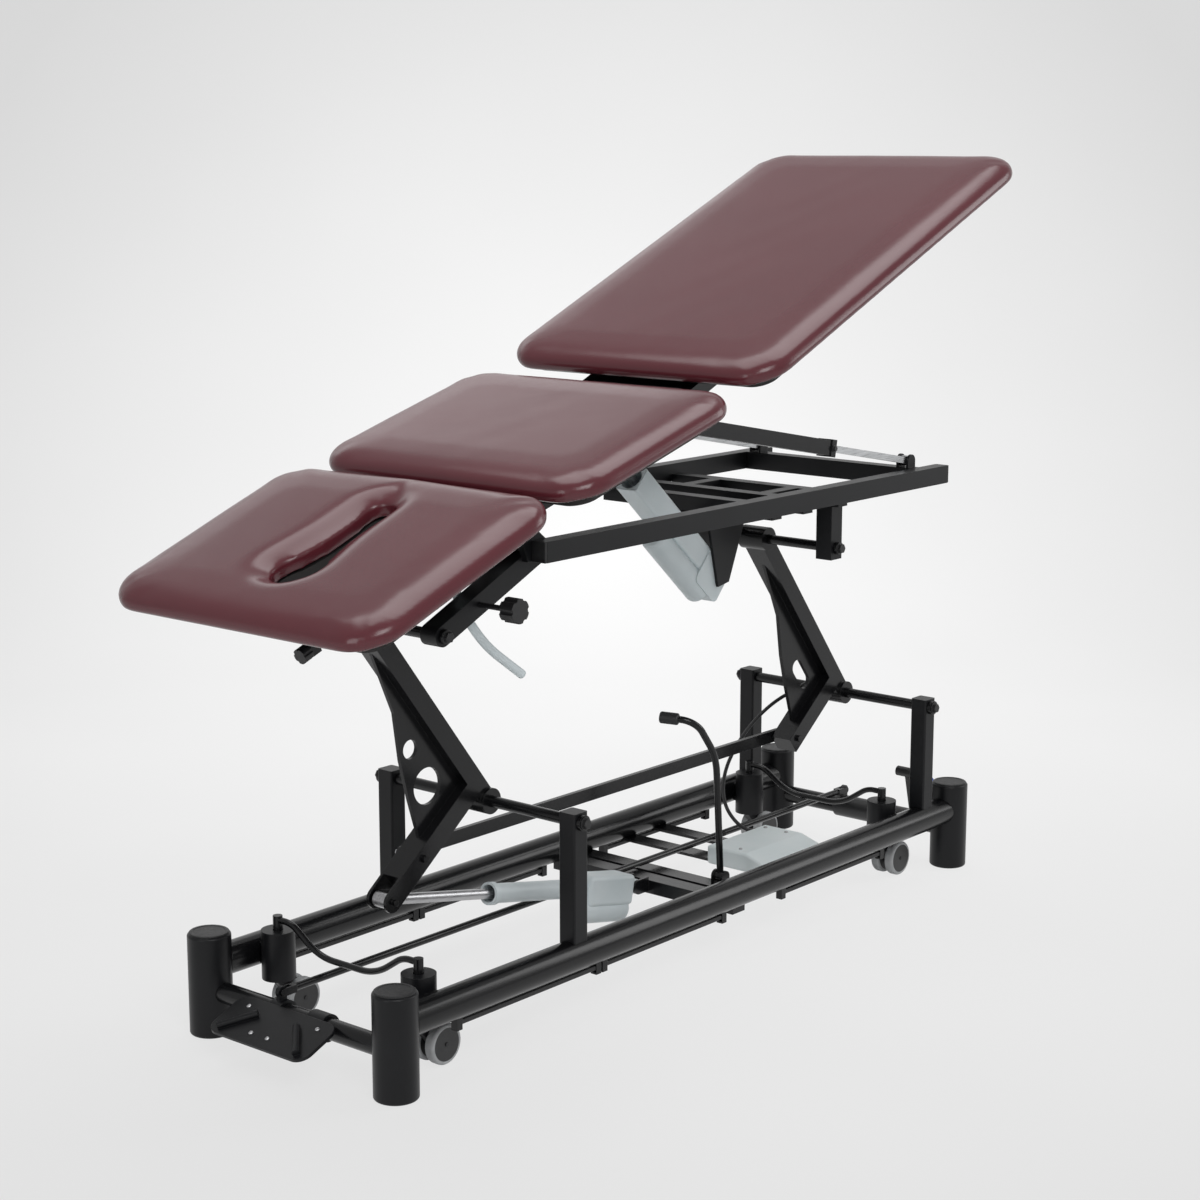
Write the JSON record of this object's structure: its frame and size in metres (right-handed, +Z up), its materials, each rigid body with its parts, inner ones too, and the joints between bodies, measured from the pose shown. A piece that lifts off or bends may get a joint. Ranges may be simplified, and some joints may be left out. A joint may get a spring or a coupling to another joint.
{
  "type": "physiotherapy table",
  "caption": "Powered treatment table with leaning lift arms on a tube base, tilting head, middle and leg cushions, breathing slot, foot pedals and retractable castors.",
  "frame": {"origin": "on the floor under the middle of the table", "axes": "+X from the head end to the foot end, +Y to the side away from the hand lever, +Z up"},
  "size_m": [1.9704, 0.686, 1.5705],
  "materials": {
    "black_frame": "satin powder coat",
    "black_plastic": "matt",
    "grey_plastic": "smooth satin",
    "steel": "drawn steel",
    "board": "dark painted board",
    "vinyl": "burgundy grained vinyl",
    "tyre": "grey rubber tread"
  },
  "bodies": {
    "base": {"feet": "black_frame", "near_base_rail": "black_frame", "far_base_rail": "black_frame", "base_cross_members": "black_frame", "pivot_posts": "black_frame", "pivot_shafts": "steel", "control_box": "grey_plastic", "castor_housings": "black_frame", "base_lead": "black_plastic"},
    "head_arm": {"head_lift_arm": "black_frame"},
    "foot_arm": {"foot_lift_arm": "black_frame", "arm_lead": "black_plastic"},
    "tie_rod": {"tie_rod": "black_frame"},
    "lift_cylinder": {"lift_motor": "grey_plastic", "lift_tube": "grey_plastic"},
    "lift_ram": {"lift_ram": "steel"},
    "top_frame": {"top_rails": "black_frame", "rail_caps": "black_plastic", "top_cross_members": "black_frame", "tilt_bracket": "black_frame", "top_hangers": "black_frame", "top_shafts": "steel", "top_lead": "black_plastic"},
    "tilt_cylinder": {"tilt_motor": "grey_plastic", "tilt_tube": "grey_plastic"},
    "tilt_ram": {"tilt_ram": "steel"},
    "stay_tubes": {"stay_tubes": "black_frame"},
    "stay_bars": {"stay_bars": "steel"},
    "middle": {"middle_frame": "black_frame", "middle_board": "board", "middle_cushion": "vinyl", "leg_hinge_shaft": "steel"},
    "leg": {"leg_frame": "black_frame", "leg_board": "board", "leg_cushion": "vinyl"},
    "head": {"head_frame": "black_frame", "head_board": "board", "head_cushion": "vinyl"},
    "head_spring_cylinder": {"head_spring_cylinder": "black_plastic"},
    "head_spring_rod": {"head_spring_rod": "steel"},
    "release_lever": {"release_lever": "grey_plastic"},
    "clamp_knob": {"clamp_knob": "black_plastic"},
    "end_knob": {"end_knob": "black_plastic"},
    "head_pedal": {"head_pedal": "black_frame"},
    "foot_pedal": {"foot_pedal": "black_frame"},
    "link_rod": {"link_rod": "black_frame"},
    "hand_lever": {"hand_lever": "black_frame", "lever_grip": "black_plastic"},
    "near_switch_bars": {"near_switch_bars": "black_plastic"},
    "far_switch_bars": {"far_switch_bars": "black_plastic"},
    "head_castor_carrier": {"head_castor_carrier": "black_frame"},
    "foot_castor_carrier": {"foot_castor_carrier": "black_frame"},
    "head_near_fork": {"head_near_fork": "black_plastic"},
    "head_near_wheels": {"head_near_wheels": "tyre"},
    "head_far_fork": {"head_far_fork": "black_plastic"},
    "head_far_wheels": {"head_far_wheels": "tyre"},
    "foot_near_fork": {"foot_near_fork": "black_plastic"},
    "foot_near_wheels": {"foot_near_wheels": "tyre"},
    "foot_far_fork": {"foot_far_fork": "black_plastic"},
    "foot_far_wheels": {"foot_far_wheels": "tyre"}
  },
  "joints": [
    {"name": "lift", "type": "hinge", "parent": "base", "child": "foot_arm", "pos_m": [0.79287, 0, 0.384], "axis": [0, -1, 0], "range_deg": [-3, 42]},
    {"name": "head_arm_pivot", "type": "hinge", "parent": "base", "child": "head_arm", "pos_m": [-0.37413, 0, 0.384], "axis": [0, -1, 0], "range_deg": [-3.5, 42.5]},
    {"name": "top_frame_pivot", "type": "hinge", "parent": "foot_arm", "child": "top_frame", "pos_m": [0.49119, 0, 0.77012], "axis": [0, -1, 0], "range_deg": [-42.5, 3.5]},
    {"name": "tie_rod_pivot", "type": "hinge", "parent": "foot_arm", "child": "tie_rod", "pos_m": [0.61867, 0, 0.31135], "axis": [0, -1, 0], "range_deg": [-42.5, 3.5]},
    {"name": "lift_cylinder_pivot", "type": "hinge", "parent": "base", "child": "lift_cylinder", "pos_m": [0.07487, 0, 0.104], "axis": [0, -1, 0], "range_deg": [-1.3, 11.67]},
    {"name": "lift_ram_pivot", "type": "hinge", "parent": "head_arm", "child": "lift_ram", "pos_m": [-0.62871, 0, 0.24855], "axis": [0, -1, 0], "range_deg": [-31.33, 2.7]},
    {"name": "middle_tilt", "type": "hinge", "parent": "top_frame", "child": "middle", "pos_m": [-0.48413, 0, 0.94012], "axis": [0, -1, 0], "range_deg": [-16, 3]},
    {"name": "tilt_cylinder_pivot", "type": "hinge", "parent": "top_frame", "child": "tilt_cylinder", "pos_m": [0.29787, -0.02, 0.72213], "axis": [0, -1, 0], "range_deg": [-2.93, 13.48]},
    {"name": "tilt_ram_pivot", "type": "hinge", "parent": "middle", "child": "tilt_ram", "pos_m": [-0.03877, -0.02, 1.0237], "axis": [0, -1, 0], "range_deg": [-5.93, 29.48]},
    {"name": "stay_bar_pivot", "type": "hinge", "parent": "top_frame", "child": "stay_bars", "pos_m": [0.75887, 0, 0.92412], "axis": [0, -1, 0], "range_deg": [-2.66, 12.02]},
    {"name": "stay_tube_pivot", "type": "hinge", "parent": "middle", "child": "stay_tubes", "pos_m": [0.03895, 0, 1.06086], "axis": [0, -1, 0], "range_deg": [-5.66, 28.02]},
    {"name": "leg_tilt", "type": "hinge", "parent": "middle", "child": "leg", "pos_m": [0.03923, 0, 1.09217], "axis": [0, -1, 0], "range_deg": [-7, 40]},
    {"name": "head_tilt", "type": "hinge", "parent": "top_frame", "child": "head", "pos_m": [-0.48413, 0, 0.94012], "axis": [0, 1, 0], "range_deg": [-9, 20]},
    {"name": "head_spring_cylinder_pivot", "type": "hinge", "parent": "top_frame", "child": "head_spring_cylinder", "pos_m": [-0.41213, 0.075, 0.85213], "axis": [0, 1, 0], "range_deg": [-7.28, 15.56]},
    {"name": "head_spring_rod_pivot", "type": "hinge", "parent": "head", "child": "head_spring_rod", "pos_m": [-0.68461, 0.075, 0.82633], "axis": [0, 1, 0], "range_deg": [-5.44, 2.72]},
    {"name": "release_lever_pull", "type": "hinge", "parent": "head", "child": "release_lever", "pos_m": [-0.60265, -0.1535, 0.86116], "axis": [0, -1, 0], "range_deg": [0, 12], "stiffness_Nm_per_rad": 8, "springref_deg": -20.05},
    {"name": "clamp_knob_turn", "type": "hinge", "parent": "top_frame", "child": "clamp_knob", "pos_m": [-0.58491, -0.25, 0.81138], "axis": [0, 1, 0], "continuous": true},
    {"name": "end_knob_turn", "type": "hinge", "parent": "head", "child": "end_knob", "pos_m": [-0.84478, -0.06, 0.75809], "axis": [0.933, 0, 0.36], "continuous": true},
    {"name": "pedal_press", "type": "hinge", "parent": "base", "child": "head_pedal", "pos_m": [-0.83913, 0, 0.084], "axis": [0, -1, 0], "range_deg": [0, 10]},
    {"name": "foot_pedal_press", "type": "hinge", "parent": "base", "child": "foot_pedal", "pos_m": [0.90487, 0, 0.084], "axis": [0, -1, 0], "range_deg": [-0.5, 10.5]},
    {"name": "link_rod_slide", "type": "slide", "parent": "base", "child": "link_rod", "axis": [-1, 0, 0], "range_m": [-0.001, 0.009]},
    {"name": "head_castor_drop", "type": "slide", "parent": "base", "child": "head_castor_carrier", "axis": [0, 0, -1], "range_m": [-0.0002, 0.0102]},
    {"name": "foot_castor_drop", "type": "slide", "parent": "base", "child": "foot_castor_carrier", "axis": [0, 0, -1], "range_m": [-0.0002, 0.0102]},
    {"name": "head_near_swivel", "type": "hinge", "parent": "head_castor_carrier", "child": "head_near_fork", "pos_m": [-0.72413, -0.18, 0.12], "axis": [0, 0, 1], "continuous": true},
    {"name": "head_near_roll", "type": "hinge", "parent": "head_near_fork", "child": "head_near_wheels", "pos_m": [-0.68413, -0.18, 0.0415], "axis": [0, 1, 0], "continuous": true},
    {"name": "head_far_swivel", "type": "hinge", "parent": "head_castor_carrier", "child": "head_far_fork", "pos_m": [-0.72413, 0.18, 0.12], "axis": [0, 0, 1], "continuous": true},
    {"name": "head_far_roll", "type": "hinge", "parent": "head_far_fork", "child": "head_far_wheels", "pos_m": [-0.68413, 0.18, 0.0415], "axis": [0, 1, 0], "continuous": true},
    {"name": "foot_near_swivel", "type": "hinge", "parent": "foot_castor_carrier", "child": "foot_near_fork", "pos_m": [0.71887, -0.18, 0.12], "axis": [0, 0, 1], "continuous": true},
    {"name": "foot_near_roll", "type": "hinge", "parent": "foot_near_fork", "child": "foot_near_wheels", "pos_m": [0.75887, -0.18, 0.0415], "axis": [0, 1, 0], "continuous": true},
    {"name": "foot_far_swivel", "type": "hinge", "parent": "foot_castor_carrier", "child": "foot_far_fork", "pos_m": [0.71887, 0.18, 0.12], "axis": [0, 0, 1], "continuous": true},
    {"name": "foot_far_roll", "type": "hinge", "parent": "foot_far_fork", "child": "foot_far_wheels", "pos_m": [0.75887, 0.18, 0.0415], "axis": [0, 1, 0], "continuous": true},
    {"name": "hand_lever_swing", "type": "hinge", "parent": "base", "child": "hand_lever", "pos_m": [0.19087, -0.14, 0.124], "axis": [0, -1, 0], "range_deg": [-10, 10]},
    {"name": "near_switch_press", "type": "slide", "parent": "base", "child": "near_switch_bars", "axis": [0, 0, -1], "range_m": [0, 0.004], "stiffness_N_per_m": 4000, "springref_m": -0.006},
    {"name": "far_switch_press", "type": "slide", "parent": "base", "child": "far_switch_bars", "axis": [0, 0, -1], "range_m": [0, 0.004], "stiffness_N_per_m": 4000, "springref_m": -0.006}
  ],
  "couplings": [
    {"joint": "head_arm_pivot", "follows": "lift", "ratio": 1},
    {"joint": "top_frame_pivot", "follows": "lift", "ratio": -1},
    {"joint": "tie_rod_pivot", "follows": "lift", "ratio": -1},
    {"joint": "lift_cylinder_pivot", "follows": "lift", "ratio": 0.266},
    {"joint": "lift_ram_pivot", "follows": "lift", "ratio": -0.734},
    {"joint": "tilt_cylinder_pivot", "follows": "middle_tilt", "ratio": -0.811},
    {"joint": "tilt_ram_pivot", "follows": "middle_tilt", "ratio": -1.811},
    {"joint": "stay_bar_pivot", "follows": "middle_tilt", "ratio": -0.72},
    {"joint": "stay_tube_pivot", "follows": "middle_tilt", "ratio": -1.72},
    {"joint": "head_spring_cylinder_pivot", "follows": "head_tilt", "ratio": 0.753},
    {"joint": "head_spring_rod_pivot", "follows": "head_tilt", "ratio": -0.247},
    {"joint": "foot_pedal_press", "follows": "pedal_press", "ratio": 1},
    {"joint": "link_rod_slide", "follows": "pedal_press", "m_per_rad": 0.038},
    {"joint": "head_castor_drop", "follows": "pedal_press", "m_per_rad": 0.057296},
    {"joint": "foot_castor_drop", "follows": "pedal_press", "m_per_rad": 0.057296}
  ]
}
